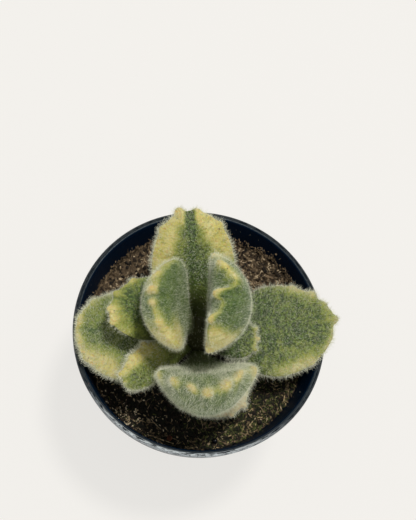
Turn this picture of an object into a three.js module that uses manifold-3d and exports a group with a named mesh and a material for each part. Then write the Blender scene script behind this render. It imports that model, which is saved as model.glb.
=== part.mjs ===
// A variegated bears paw succulent (Cotyledon tomentosa) in a round black nursery pot.
// Millimetres and degrees, +Z up. The origin is the centre of the pot's flat base, and the plant's
// widest pair of leaves spreads along X.
import * as THREE from "three";
import { mergeVertices } from "three/addons/utils/BufferGeometryUtils.js";
import Module from "manifold-3d";

const wasm = await Module();
wasm.setup();

// ---- Driving dimensions ----

const CLEARANCE = 0.3; // between pieces that touch

// Pot: a thin tapered shell with a turned-out rim band and holes in its floor.
const POT_HEIGHT = 48;
const RIM_RADIUS = 27.5;
const RIM_WIDTH = 1.3;
const RIM_BAND = 5.5;
const RIM_DRAFT = 0.5; // how much wider the band is at its top than at its foot
const RIM_ROUND = 0.4; // the rounding of the rim's two top edges
const BASE_RADIUS = 19.8;
const BASE_ROUND = 1;
const WALL = 0.8;
const FLOOR = 1.2;
const POT_SIDES = 64;
const DRAIN_HOLES = 6;
const DRAIN_RADIUS = 2.5;
const DRAIN_CIRCLE = 13;

// Soil: fills the pot to a little below the rim.
const SOIL_DEPTH = 9.3;
const SOIL_GAP = CLEARANCE + 0.1; // to the wall, whose facets take up the difference
const SOIL_SHOULDER = 0.9; // how far the surface drops at the wall
const SOIL_RELIEF = 0.55;
const SOIL_RINGS = 11;
const SOIL_SIDES = 44;

// Stem: bows forward and thins towards its top.
const STEM_FOOT = 33;
const STEM_TOP = 57.8;
const STEM_X = -0.9;
const STEM_Y = -3;
const STEM_BOW = 1.6; // how far back the axis has come 10 mm above and below its foremost point
const STEM_BOW_HEIGHT = 47;
const STEM_FOOT_RADIUS = 2.9;
const STEM_TOP_RADIUS = 2.2;
const STEM_SIDES = 16;
const STEM_RINGS = 12;
const LEAF_SEAT = 1.6; // a leaf starts this far from the stem's axis, inside its own clearance cut

// Leaves: rows run from the base to the apex, columns from the spine to the margin.
const LEAF_ROWS = 18;
const LEAF_COLUMNS = 3;
const TOOTH_HALF_SPAN = 0.045; // of the half outline's length

// Each leaf: the height of its node on the stem, the way it points (azimuth from +X, anticlockwise
// from above), its pitch at base and apex, its length and half width, where it is widest, how blunt
// it is, how far its margins rise, its roll about its own axis, how far its apex sweeps to the left,
// its half thickness at base and middle on the upper and the under side, and its teeth. A tooth is
// [side, place, height]: side 1 is left and -1 right when looking from base to apex, 0 is the apex
// itself, and the place goes from 0 at the base to 1 at the apex along the margin. A curl is
// [side, place, rise, half span]: there the margin lifts out of the leaf's plane, or drops.
const LEAVES = {
  leaf_left_low: {
    height: 46, azimuth: 176.2, pitch: [7.8, 16.7], length: 24.9, halfWidth: 9.8, widest: 0.56,
    blunt: 1.95, rise: 0.4, roll: 4, sweep: 0, upper: [1.2, 1.8], under: [1.3, 2.3],
    teeth: [[1, 0.8, 0.3], [-1, 0.9, 0.2], [-1, 0.756, 0.3]],
  },
  leaf_right_low: {
    height: 46.3, azimuth: 7, pitch: [8.7, 12.5], length: 28.5, halfWidth: 10.1, widest: 0.55,
    blunt: 1.96, rise: 0.4, roll: 0, sweep: 0, upper: [1.2, 1.5], under: [1.3, 2.1],
    teeth: [
      [1, 0.99, 1.0], [1, 0.94, 0.4], [1, 0.885, 0.45], [1, 0.79, 0.6], [1, 0.66, 0.3], [-1, 0.9, 0.15],
      [-1, 0.7, 0.2],
    ],
  },
  leaf_back: {
    height: 45.4, azimuth: 95.3, pitch: [48.1, 28.7], length: 29, halfWidth: 8.8, widest: 0.57,
    blunt: 2.1, rise: 1.1, roll: -1, sweep: 0, upper: [1.2, 1.5], under: [1.6, 2.6],
    teeth: [[1, 0.936, 0.9], [-1, 0.961, 0.4], [1, 0.794, 0.4], [-1, 0.796, 0.4]],
  },
  leaf_front_low: {
    height: 42.2, azimuth: -66.5, pitch: [25, 15], length: 17.0, halfWidth: 6.4, widest: 0.6,
    blunt: 2.1, rise: 0.2, roll: 0, sweep: 0, upper: [1.1, 1.3], under: [1.2, 1.8],
    teeth: [[0, 1, 0.4], [1, 0.85, 0.6]],
  },
  leaf_front: {
    height: 47.1, azimuth: -87.2, pitch: [22, 94.3], length: 25.7, halfWidth: 9.4, widest: 0.65,
    blunt: 2.3, rise: 3.7, roll: 0, sweep: 0, upper: [1.2, 3.9], under: [1.4, 4.7],
    teeth: [
      [-1, 0.63, 0.6], [-1, 0.78, 0.8], [-1, 0.886, 0.6], [-1, 0.97, 0.9], [1, 0.915, 1.0],
      [1, 0.825, 0.7], [1, 0.66, 0.7],
    ],
    curls: [[-1, 0.96, -1.3, 0.12], [1, 0.8, 1.4, 0.13]],
  },
  leaf_left_back: {
    height: 51.4, azimuth: 153.5, pitch: [26.5, 28.7], length: 19.2, halfWidth: 6.8, widest: 0.62,
    blunt: 2.3, rise: 1.5, roll: -3, sweep: 3.0, upper: [1.0, 1.4], under: [1.0, 2.1],
    teeth: [[1, 0.9, 0.4], [1, 0.77, 0.4], [-1, 0.956, 0.5], [-1, 0.793, 0.4]],
  },
  leaf_left_front: {
    height: 48.6, azimuth: 205.4, pitch: [27, 14], length: 18.3, halfWidth: 4.0, widest: 0.6,
    blunt: 2.3, rise: 0.75, roll: -12, sweep: 2.4, upper: [1.0, 1.7], under: [1.0, 2.1],
    teeth: [[-1, 0.922, 0.6], [-1, 0.75, 0.3], [-1, 0.57, 0.6]],
  },
  leaf_right_mid: {
    height: 49.5, azimuth: -3, pitch: [7, 23.5], length: 11.2, halfWidth: 4.1, widest: 0.6,
    blunt: 2.4, rise: 0.9, roll: 8, sweep: 0, upper: [1.0, 1.4], under: [1.0, 1.7],
    teeth: [[0, 1, 0.6], [1, 0.86, 0.6], [-1, 0.84, 0.4]],
  },
  leaf_left_upright: {
    height: 54.7, azimuth: 166.6, pitch: [48.4, 69.3], length: 18.3, halfWidth: 9.3, widest: 0.68,
    blunt: 2.1, rise: 3.2, roll: 11, sweep: 0, upper: [1.2, 3.1], under: [1.4, 4.0],
    teeth: [[1, 0.94, 0.6], [1, 0.79, 0.4], [-1, 0.965, 1.0], [-1, 0.83, 0.4]],
  },
  leaf_right_upright: {
    height: 54.5, azimuth: 11.3, pitch: [75, 103.4], length: 26, halfWidth: 9.2, widest: 0.7,
    blunt: 2.2, rise: 2.4, roll: -15.6, sweep: -0.8, upper: [1.2, 2.6], under: [1.5, 5.1],
    teeth: [[0, 1, 1.0], [1, 0.81, 0.6], [1, 0.64, 0.3], [-1, 0.865, 1.0], [-1, 0.6, 0.6]],
    curls: [
      [1, 0.92, -2.1, 0.13], [0, 1, 2.1, 0.05], [-1, 0.865, 0.6, 0.04], [-1, 0.8, 1.4, 0.16],
    ],
  },
};
const PETIOLE_HALF_WIDTH = 1.35;

// ---- Helpers ----

const clamp01 = (value) => Math.min(Math.max(value, 0), 1);
const radians = THREE.MathUtils.degToRad;
const lerp = THREE.MathUtils.lerp;

// A closed geometry as a manifold-3d solid.
function solidOf(geometry) {
  const bare = geometry.clone();
  bare.deleteAttribute("normal");
  bare.deleteAttribute("uv");
  const merged = mergeVertices(bare, 1e-4);
  return new wasm.Manifold(
    new wasm.Mesh({
      numProp: 3,
      vertProperties: new Float32Array(merged.attributes.position.array),
      triVerts: new Uint32Array(merged.index.array),
    }),
  );
}

// A manifold-3d solid as a geometry with flat shading.
function geometryOf(solid) {
  const mesh = solid.getMesh();
  const geometry = new THREE.BufferGeometry();
  geometry.setAttribute("position", new THREE.BufferAttribute(mesh.vertProperties, 3));
  geometry.setIndex(new THREE.BufferAttribute(mesh.triVerts, 1));
  geometry.computeVertexNormals();
  return geometry;
}

// A closed body through equal rings of points, capped flat at its first ring. At the last ring it
// closes by itself, where that ring's points meet in pairs, or is capped too.
function loft(rings, capEnd) {
  const count = rings[0].length;
  const points = rings.flat();
  const triangles = [];
  rings.slice(1).forEach((_, row) => {
    for (let column = 0; column < count; column++) {
      const a = row * count + column;
      const b = row * count + ((column + 1) % count);
      const c = b + count;
      const d = a + count;
      // The diagonals mirror each other on the two faces.
      if (column < count / 2) triangles.push(a, b, c, a, c, d);
      else triangles.push(a, b, d, b, c, d);
    }
  });
  const cap = (ring, start, flipped) => {
    const middle = new THREE.Vector3();
    ring.forEach((point) => middle.addScaledVector(point, 1 / count));
    points.push(middle);
    for (let column = 0; column < count; column++) {
      const pair = [start + column, start + ((column + 1) % count)];
      if (flipped) pair.reverse();
      triangles.push(points.length - 1, ...pair);
    }
  };
  cap(rings[0], 0, true);
  if (capEnd) cap(rings[rings.length - 1], (rings.length - 1) * count, false);
  const geometry = new THREE.BufferGeometry().setFromPoints(points);
  geometry.setIndex(triangles);
  return geometry;
}

function material(color, roughness) {
  return new THREE.MeshStandardMaterial({ color, roughness, metalness: 0, flatShading: true });
}

function named(name, geometry, finish) {
  const mesh = new THREE.Mesh(geometry, finish);
  mesh.name = name;
  return mesh;
}

// ---- Pot ----

const RIM_INNER = RIM_RADIUS - RIM_WIDTH;
const BAND_FOOT = POT_HEIGHT - RIM_BAND;

// The outer wall's radius below the rim band, and the inner wall's radius, at a height.
function outerWall(z) {
  return lerp(BASE_RADIUS, RIM_INNER, z / BAND_FOOT);
}

function innerWall(z) {
  return lerp(BASE_RADIUS - WALL, RIM_INNER, z / POT_HEIGHT);
}

// Three points of a quarter circle of the pot's profile, from a first direction turning left.
function quarter(centreRadius, centreHeight, size, firstDirection) {
  return [0, 45, 90].map((step) => {
    const angle = radians(firstDirection + step);
    return [centreRadius + size * Math.cos(angle), centreHeight + size * Math.sin(angle)];
  });
}

function potGeometry() {
  const profile = [
    [0, 0],
    ...quarter(outerWall(BASE_ROUND) - BASE_ROUND, BASE_ROUND, BASE_ROUND, -90),
    [outerWall(BAND_FOOT - RIM_ROUND), BAND_FOOT - RIM_ROUND],
    [RIM_RADIUS - RIM_DRAFT, BAND_FOOT],
    ...quarter(RIM_RADIUS - RIM_ROUND, POT_HEIGHT - RIM_ROUND, RIM_ROUND, 0),
    ...quarter(RIM_INNER + RIM_ROUND, POT_HEIGHT - RIM_ROUND, RIM_ROUND, 90),
    [innerWall(FLOOR + BASE_ROUND), FLOOR + BASE_ROUND],
    [innerWall(FLOOR) - BASE_ROUND, FLOOR],
    [0, FLOOR],
  ];
  const points = profile.map(([r, z]) => new THREE.Vector2(r, z));
  const shell = new THREE.LatheGeometry(points, POT_SIDES).rotateX(Math.PI / 2);
  let solid = solidOf(shell);
  for (let hole = 0; hole < DRAIN_HOLES; hole++) {
    const angle = (2 * Math.PI * (hole + 0.5)) / DRAIN_HOLES;
    const drill = new THREE.CylinderGeometry(DRAIN_RADIUS, DRAIN_RADIUS, 3 * FLOOR, 20)
      .rotateX(Math.PI / 2)
      .translate(DRAIN_CIRCLE * Math.cos(angle), DRAIN_CIRCLE * Math.sin(angle), FLOOR / 2);
    solid = solid.subtract(solidOf(drill));
  }
  return geometryOf(solid);
}

// ---- Stem ----

// The stem's axis at a height: a shallow parabola, foremost at STEM_BOW_HEIGHT.
function stemAxis(z) {
  const back = STEM_BOW * ((z - STEM_BOW_HEIGHT) / 10) ** 2;
  return new THREE.Vector3(STEM_X, STEM_Y + back, z);
}

// The stem, or with some extra radius the space kept clear around it. Its top is rounded.
function stemGeometry(extra) {
  const rings = [];
  const top = STEM_TOP + extra;
  for (let row = 0; row <= STEM_RINGS; row++) {
    const z = lerp(STEM_FOOT - extra, top, Math.sin((Math.PI / 2) * (row / STEM_RINGS)));
    const along = (z - STEM_FOOT) / (STEM_TOP - STEM_FOOT);
    const dome = Math.sqrt(clamp01((top - z) / 2 + 0.04));
    const radius = (lerp(STEM_FOOT_RADIUS, STEM_TOP_RADIUS, along) + extra) * dome;
    const ring = [];
    for (let side = 0; side < STEM_SIDES; side++) {
      const angle = (2 * Math.PI * side) / STEM_SIDES;
      const offset = new THREE.Vector3(Math.cos(angle), Math.sin(angle), 0);
      ring.push(stemAxis(z).addScaledVector(offset, radius));
    }
    rings.push(ring);
  }
  return loft(rings, true);
}

// ---- Soil ----

// The crumbly surface: a few crossing waves of unrelated lengths, up and down by SOIL_RELIEF.
function soilRelief(x, y) {
  const coarse = Math.sin(0.42 * x + 1.3) * Math.cos(0.37 * y - 0.6);
  const middle = Math.sin(0.9 * x - 1.1 * y) * Math.cos(0.8 * y + 0.5 * x + 2);
  const fine = Math.sin(2.1 * x + 1.7 * y + 0.4) * Math.sin(1.9 * y - 1.3 * x);
  return SOIL_RELIEF * (0.5 * coarse + 0.3 * middle + 0.35 * fine);
}

function soilGeometry() {
  const top = POT_HEIGHT - SOIL_DEPTH;
  const bottom = FLOOR + CLEARANCE;
  const heel = bottom + BASE_ROUND;
  const edge = top - SOIL_SHOULDER;
  const surfaceRadius = innerWall(edge) - SOIL_GAP;
  const profile = [
    new THREE.Vector2(0, bottom),
    new THREE.Vector2(innerWall(bottom) - SOIL_GAP - BASE_ROUND, bottom),
    new THREE.Vector2(innerWall(heel) - SOIL_GAP, heel),
    new THREE.Vector2(surfaceRadius, edge),
  ];
  for (let ring = 0; ring <= SOIL_RINGS; ring++) {
    profile.push(new THREE.Vector2(surfaceRadius * (1 - ring / SOIL_RINGS), top));
  }
  const geometry = new THREE.LatheGeometry(profile, SOIL_SIDES).rotateX(Math.PI / 2);
  const position = geometry.attributes.position;
  for (let index = 0; index < position.count; index++) {
    if (position.getZ(index) <= edge) continue;
    const relief = soilRelief(position.getX(index), position.getY(index));
    position.setZ(index, top + relief);
  }
  return geometryOf(solidOf(geometry).subtract(solidOf(stemGeometry(CLEARANCE))));
}

// ---- Leaves ----

// Half of a leaf's outline as [x along, y across], by even steps of its length: a flank that swells
// from the petiole to the widest place, then a superellipse cap to the apex.
function halfOutline(leaf) {
  const flank = leaf.widest * leaf.length;
  const raw = [];
  const steps = 240;
  for (let i = 0; i <= steps; i++) {
    const u = i / steps;
    const swell = Math.sin((Math.PI / 2) * u ** 1.25);
    raw.push([flank * u, lerp(PETIOLE_HALF_WIDTH, leaf.halfWidth, swell)]);
  }
  for (let i = 1; i <= steps; i++) {
    const angle = (Math.PI / 2) * (i / steps);
    const power = 2 / leaf.blunt;
    raw.push([
      flank + (leaf.length - flank) * Math.sin(angle) ** power,
      leaf.halfWidth * Math.max(Math.cos(angle), 0) ** power,
    ]);
  }
  raw[raw.length - 1] = [leaf.length, 0];
  const lengths = [0];
  raw.slice(1).forEach(([x, y], i) => {
    lengths.push(lengths[i] + Math.hypot(x - raw[i][0], y - raw[i][1]));
  });
  const total = lengths[lengths.length - 1];
  return (place) => {
    const wanted = clamp01(place) * total;
    let i = 1;
    while (i < lengths.length - 1 && lengths[i] < wanted) i++;
    const share = (wanted - lengths[i - 1]) / (lengths[i] - lengths[i - 1]);
    return [lerp(raw[i - 1][0], raw[i][0], share), lerp(raw[i - 1][1], raw[i][1], share)];
  };
}

// How far from a place on one side another place is, along the margin and past the apex.
function placeDistance(place, side, otherSide, otherPlace) {
  const own = otherSide === 0 || otherSide === side;
  return own ? Math.abs(place - otherPlace) : Math.abs(2 - place - otherPlace);
}

// How far the margin stands out at a place on one side, from the teeth there. Teeth close to the
// apex reach over to the other side.
function toothHeight(leaf, place, side) {
  let height = 0;
  for (const [toothSide, toothPlace, toothSize] of leaf.teeth) {
    const distance = placeDistance(place, side, toothSide, toothPlace);
    height += toothSize * clamp01(1 - distance / TOOTH_HALF_SPAN) ** 1.2;
  }
  return height;
}

// How far the margin lifts out of the leaf's plane at a place on one side: each curl is a smooth
// bump of a squared cosine.
function marginCurl(leaf, place, side) {
  let rise = 0;
  for (const [curlSide, curlPlace, curlRise, halfSpan] of leaf.curls ?? []) {
    const share = clamp01(placeDistance(place, side, curlSide, curlPlace) / halfSpan);
    rise += curlRise * Math.cos((Math.PI / 2) * share) ** 2;
  }
  return rise;
}

// The unit direction across the margin, outwards, in the leaf's own plane. It turns to point
// straight ahead over the last few percent before the apex.
function marginNormal(outline, place) {
  const step = 1e-3;
  const [xa, ya] = outline(place - step);
  const [xb, yb] = outline(place + step);
  const along = new THREE.Vector2(xb - xa, yb - ya).normalize();
  const ahead = clamp01((place - 0.97) / 0.03);
  return new THREE.Vector2(lerp(-along.y, 1, ahead), along.x * (1 - ahead)).normalize();
}

// A point of the flat leaf: place from base to apex, reach from 0 at the spine to 1 at the margin,
// side 1 or -1, face 1 above or -1 below. Lines of equal place run slantwise from the spine to the
// margin, as the veins do.
function flatPoint(leaf, outline, place, reach, side, face) {
  const [x, y] = outline(place);
  const { length, halfWidth } = leaf;
  const slant = Math.min((0.72 * Math.min(halfWidth, 0.45 * length)) / length, 0.33);
  const spine = x - slant * length * (x / length) ** 3;
  const normal = marginNormal(outline, place);
  const tooth = toothHeight(leaf, place, side) * reach ** 5;
  const along = lerp(spine, x, reach) + tooth * normal.x;
  const across = y * reach + tooth * normal.y;
  const share = Math.min(Math.max(along / length, 0), 1.1);
  const swell = Math.sin((Math.PI / 2) * clamp01(share / 0.5));
  const thinning = 1 - 0.25 * clamp01((share - 0.6) / 0.4) ** 2;
  const [baseHalf, middleHalf] = face > 0 ? leaf.upper : leaf.under;
  const round = (1 - reach ** 2.4) ** 0.55;
  const cup = leaf.rise * (across / halfWidth) ** 2 * clamp01(2 * share);
  const half = lerp(baseHalf, middleHalf, swell) * thinning * round;
  const curl = marginCurl(leaf, place, side) * reach ** 4;
  return new THREE.Vector3(along, across * side, cup + curl + face * half);
}

// Bends the flat leaf along an arc from its first pitch to its last, sweeps its apex aside, rolls
// it, and sets it on the stem.
function bent(leaf, point) {
  const [first, last] = leaf.pitch.map(radians);
  const swept = leaf.sweep * clamp01(point.x / leaf.length) ** 2;
  const turn = (last - first) / leaf.length;
  const along = Math.max(point.x, 0);
  const pitch = first + turn * along;
  const out = (Math.sin(pitch) - Math.sin(first)) / turn;
  const up = (Math.cos(first) - Math.cos(pitch)) / turn;
  const azimuth = radians(leaf.azimuth);
  const ahead = new THREE.Vector3(Math.cos(azimuth), Math.sin(azimuth), 0);
  const left = new THREE.Vector3(-Math.sin(azimuth), Math.cos(azimuth), 0);
  const above = ahead.clone().multiplyScalar(-Math.sin(pitch));
  above.z = Math.cos(pitch);
  const roll = radians(leaf.roll);
  const across = left.clone().multiplyScalar(Math.cos(roll)).addScaledVector(above, Math.sin(roll));
  const away = above.clone().multiplyScalar(Math.cos(roll)).addScaledVector(left, -Math.sin(roll));
  return stemAxis(leaf.height)
    .addScaledVector(ahead, LEAF_SEAT + out)
    .add(new THREE.Vector3(0, 0, up))
    .addScaledVector(across, point.y + swept)
    .addScaledVector(away, point.z);
}

// The places of a leaf's rows: even steps, and each tooth's tip and feet.
function leafRows(leaf) {
  const places = [];
  leaf.teeth.forEach(([, place]) => {
    places.push(place - TOOTH_HALF_SPAN, place, Math.min(place + TOOTH_HALF_SPAN, 1));
  });
  for (let row = 0; row <= LEAF_ROWS; row++) {
    const even = row / LEAF_ROWS;
    if (row === 0 || places.every((place) => Math.abs(place - even) > 0.018)) places.push(even);
  }
  places.sort((a, b) => a - b);
  return places.filter((place, i) => i === 0 || place - places[i - 1] > 0.004);
}

// One ring of a leaf: over the upper face from the left margin to the right one, and back below.
function leafRing(leaf, outline, place) {
  const reaches = [];
  for (let column = 0; column <= LEAF_COLUMNS; column++) {
    reaches.push(Math.sin((Math.PI / 2) * (column / LEAF_COLUMNS)));
  }
  const inward = [...reaches].reverse();
  const at = (reach, side, face) => bent(leaf, flatPoint(leaf, outline, place, reach, side, face));
  return [
    ...inward.map((reach) => at(reach, 1, 1)),
    ...reaches.slice(1).map((reach) => at(reach, -1, 1)),
    ...inward.slice(1).map((reach) => at(reach, -1, -1)),
    ...reaches.slice(1, -1).map((reach) => at(reach, 1, -1)),
  ];
}

function leafGeometry(leaf) {
  const outline = halfOutline(leaf);
  const rings = leafRows(leaf).map((place) => leafRing(leaf, outline, place));
  const whole = solidOf(loft(rings, false));
  return geometryOf(whole.subtract(solidOf(stemGeometry(CLEARANCE))));
}

// ---- The plant in its pot ----

const group = new THREE.Group();
group.name = "bears_paw_in_pot";
group.add(named("pot", potGeometry(), material(0x14171b, 0.42)));
group.add(named("soil", soilGeometry(), material(0x3a3226, 0.95)));
group.add(named("stem", stemGeometry(0), material(0x75733f, 0.85)));

const plant = new THREE.Group();
const leafFinish = material(0x75854f, 0.9);
for (const [name, leaf] of Object.entries(LEAVES)) {
  plant.add(named(name, leafGeometry(leaf), leafFinish.clone()));
}
group.add(plant);

export default group;
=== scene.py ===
"""A variegated bears paw succulent (Cotyledon tomentosa) in a round black nursery pot.

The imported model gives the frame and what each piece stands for. The leaves, the stem, the pot and
the soil are surfaces of two parameters on a grid, and the hairs and the loose peat are small spikes
and lumps. All are worked out in millimetres and written into their meshes in metres.
"""

import bmesh
import bpy
import numpy as np
from mathutils import Matrix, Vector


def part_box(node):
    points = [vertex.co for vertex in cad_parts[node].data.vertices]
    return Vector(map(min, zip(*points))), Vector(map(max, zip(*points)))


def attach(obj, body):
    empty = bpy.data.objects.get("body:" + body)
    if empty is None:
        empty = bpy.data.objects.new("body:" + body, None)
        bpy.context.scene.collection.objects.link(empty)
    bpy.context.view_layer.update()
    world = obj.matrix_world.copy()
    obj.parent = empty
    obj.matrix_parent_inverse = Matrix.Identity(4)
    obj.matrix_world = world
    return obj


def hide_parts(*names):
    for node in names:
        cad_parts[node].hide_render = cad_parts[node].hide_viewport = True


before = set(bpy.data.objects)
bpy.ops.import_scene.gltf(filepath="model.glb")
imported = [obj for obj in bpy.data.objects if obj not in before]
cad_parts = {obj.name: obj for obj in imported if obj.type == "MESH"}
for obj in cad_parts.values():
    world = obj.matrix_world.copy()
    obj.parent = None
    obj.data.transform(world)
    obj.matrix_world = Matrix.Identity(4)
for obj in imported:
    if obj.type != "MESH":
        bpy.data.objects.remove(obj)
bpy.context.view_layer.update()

MM = 0.001
BODY = "root"
UP = np.array([0.0, 0.0, 1.0])

# ---- Sizes, in millimetres and degrees ----

# Waves are (height, length, seed), and hairs (number per square millimetre, length, radius).

RIM_RADIUS, _, POT_HEIGHT = np.array(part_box("pot")[1]) / MM
RIM_WIDTH = 1.3
RIM_INNER = RIM_RADIUS - RIM_WIDTH
RIM_BAND = 5.5
RIM_DRAFT = 0.5
RIM_ROUND = 0.4
BASE_RADIUS = 19.8
BASE_ROUND = 1.0
WALL = 0.8
FLOOR = 1.2
SHARP_ANGLE = 40.0
DRAIN_RADIUS = 2.5
DRAIN_CIRCLE = 13.0
DRAIN_RING = (8.5, 17.25)

SOIL_DEPTH = 9.3
SOIL_TOP = POT_HEIGHT - SOIL_DEPTH
SOIL_GAP = 0.15
SOIL_SHOULDER = 0.9
SOIL_RELIEF = 0.55
SOIL_BOTTOM = FLOOR + 0.3
BANK_BEHIND = 1.2
BANK_RIGHT = 2.4
BANK_AZIMUTH = 38.0
BANK_SPREAD = 16.0
CRUMB_WAVES = ((0.3, 1.6, 21), (0.22, 0.8, 22))
LITTER_GAP = 0.15
LITTER_TOP = POT_HEIGHT - 2.5
STRAND_LIFT = 0.25

STEM_FOOT = 33.0
STEM_TOP = 57.8
STEM_X = -0.9
STEM_Y = -3.0
STEM_BOW = 1.6
STEM_BOW_HEIGHT = 47.0
STEM_FOOT_RADIUS = 2.9
STEM_TOP_RADIUS = 2.2
LEAF_SEAT = 1.6

PETIOLE_HALF_WIDTH = 1.35
KNOB_SWELL = 0.4
KNOB_REACH = 1.25
LEAF_WAVES = ((0.1, 4.0, 3), (0.05, 1.7, 4))
HAIR_SINK = 0.08
STEM_HAIRS = (0.35, 0.8, 0.017)

# ---- Counts and shares ----

POT_SIDES = 192
DRAIN_HOLES = 6
SOIL_RINGS = 95
SOIL_SIDES = 260
SPOT_TRIES = 8
CRUMB_LIFT = 0.25
STEM_ROWS = 60
STEM_SIDES = 40
OUTLINE_STEPS = 241
LEAF_ROWS = 110
LEAF_COLUMNS = 13
VEIN_SLANT = 0.72
MOST_SLANT = 0.33
VEIN_MAP = (0.35, 1.3)
TOOTH_HALF_SPAN = 0.045
MARGIN_CREAM = 0.25
OLIVE_EDGE = 0.05
OLIVE_FADE = 0.2
HAIR_EDGE = 0.06
HAIR_FADE = 0.12
HAIR_LEAN = 0.15
HAIR_LENGTHS = (0.6, 1.25)
UNDER_SHARE = 0.8
MARGIN_SHARE = 1.4
DOWN_SHARE = 1.9
DOWN_LENGTH = 0.6

# ---- The ten leaves ----

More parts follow.
